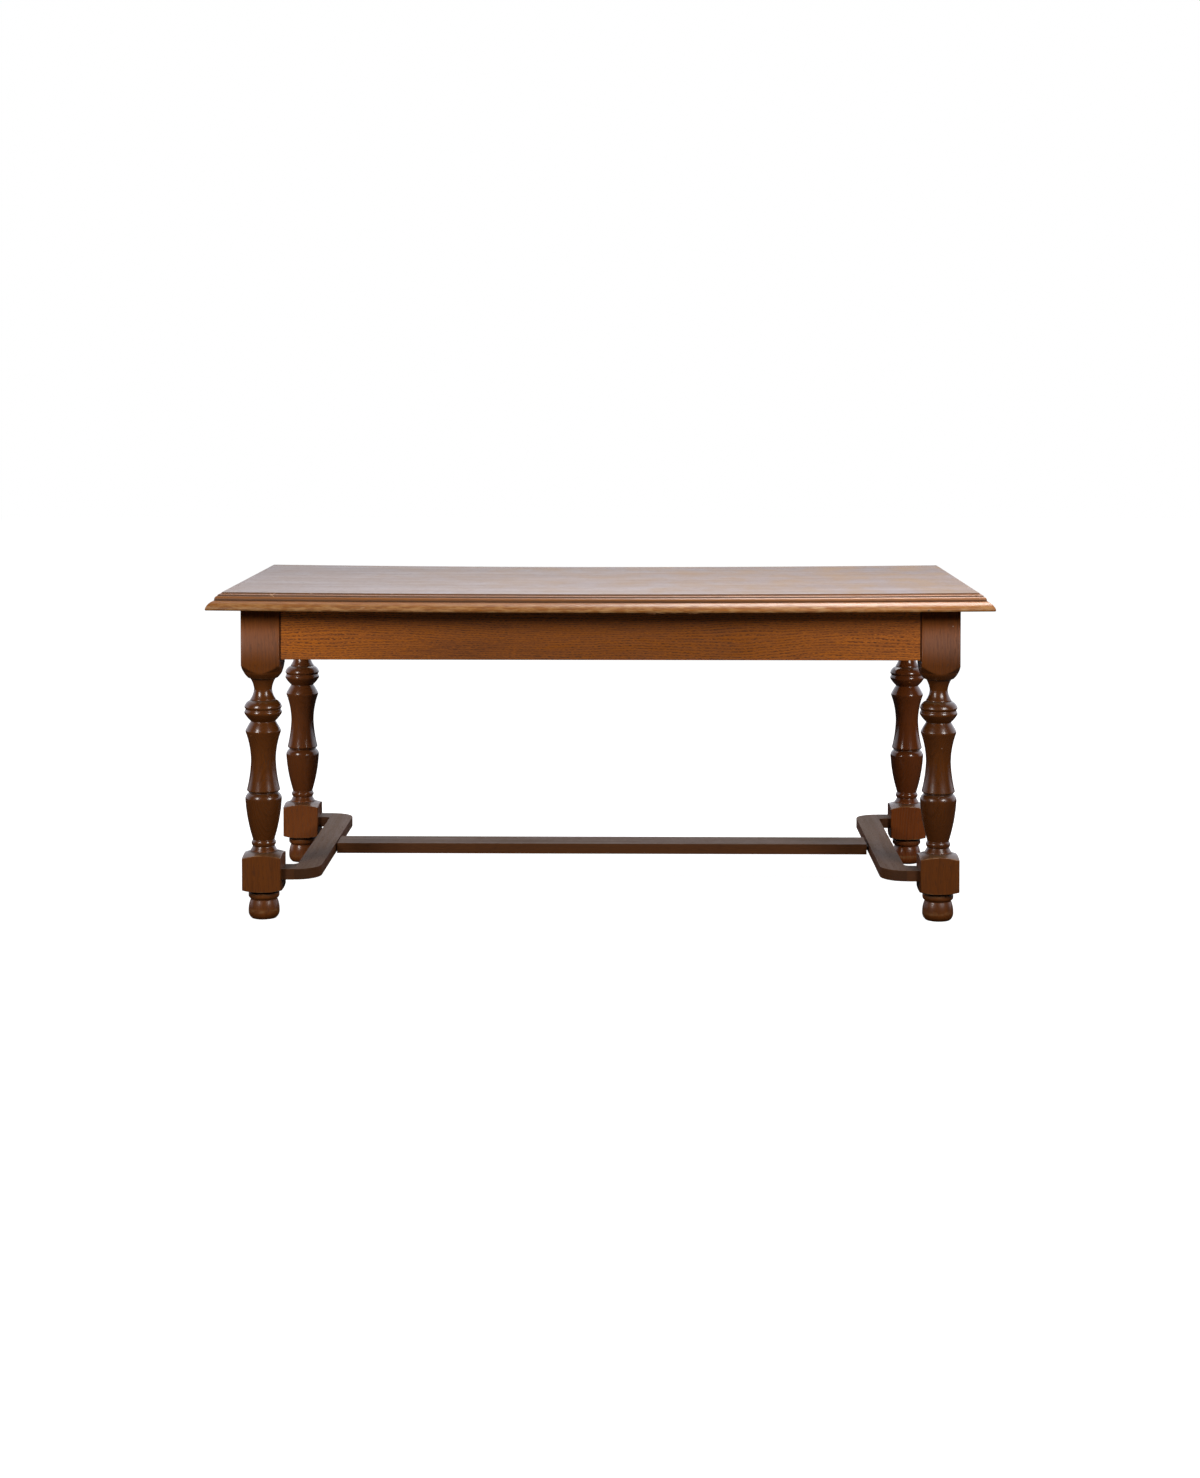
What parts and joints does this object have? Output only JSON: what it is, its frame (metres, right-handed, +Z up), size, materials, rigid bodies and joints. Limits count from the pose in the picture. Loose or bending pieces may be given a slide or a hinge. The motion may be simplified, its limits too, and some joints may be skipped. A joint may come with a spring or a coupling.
{
  "type": "drapers table",
  "caption": "Long wooden drapers table with a moulded overhanging top, deep aprons, stout turned legs and a low flat H stretcher with rounded U-shaped ends.",
  "frame": {"origin": "on the floor under the middle of the table", "axes": "+X along the table to the right, -Y towards the front that the picture shows, +Z up"},
  "size_m": [1.81, 0.86, 0.77],
  "materials": {
    "top_wood": "worn brown polish on oak, dulled and streaked along the grain",
    "moulding_wood": "polished brown oak, rubbed paler on its lower edge",
    "apron_wood": "orange-brown oak with dark pores, thin satin polish",
    "leg_wood": "red-brown stained hardwood, satin to semi-gloss polish",
    "stretcher_wood": "brown stained hardwood, dull on its flat top",
    "inner_wood": "bare unpolished wood, darkened with age",
    "screw_steel": "plain steel, dulled"
  },
  "bodies": {
    "root": {"apron_back": "apron_wood", "apron_front": "apron_wood", "apron_left": "apron_wood", "apron_right": "apron_wood", "build_up_back": "inner_wood", "build_up_cross_left": "inner_wood", "build_up_cross_right": "inner_wood", "build_up_front": "inner_wood", "build_up_left": "inner_wood", "build_up_right": "inner_wood", "centre_stretcher": "stretcher_wood", "cross_rail_left": "inner_wood", "cross_rail_right": "inner_wood", "edge_moulding_back": "moulding_wood", "edge_moulding_front": "moulding_wood", "edge_moulding_left": "moulding_wood", "edge_moulding_right": "moulding_wood", "end_stretcher_left": "stretcher_wood", "end_stretcher_right": "stretcher_wood", "fixing_block_back_1": "inner_wood", "fixing_block_back_2": "inner_wood", "fixing_block_back_3": "inner_wood", "fixing_block_front_1": "inner_wood", "fixing_block_front_2": "inner_wood", "fixing_block_front_3": "inner_wood", "fixing_block_left": "inner_wood", "fixing_block_right": "inner_wood", "fixing_screws": "screw_steel", "leg_back_left": "leg_wood", "leg_back_right": "leg_wood", "leg_front_left": "leg_wood", "leg_front_right": "leg_wood", "stretcher_arm_back_left": "stretcher_wood", "stretcher_arm_back_right": "stretcher_wood", "stretcher_arm_front_left": "stretcher_wood", "stretcher_arm_front_right": "stretcher_wood", "top_board_1": "top_wood", "top_board_2": "top_wood", "top_board_3": "top_wood", "top_board_4": "top_wood", "top_board_5": "top_wood", "top_tongue_1": "inner_wood", "top_tongue_2": "inner_wood", "top_tongue_3": "inner_wood", "top_tongue_4": "inner_wood"}
  },
  "joints": []
}
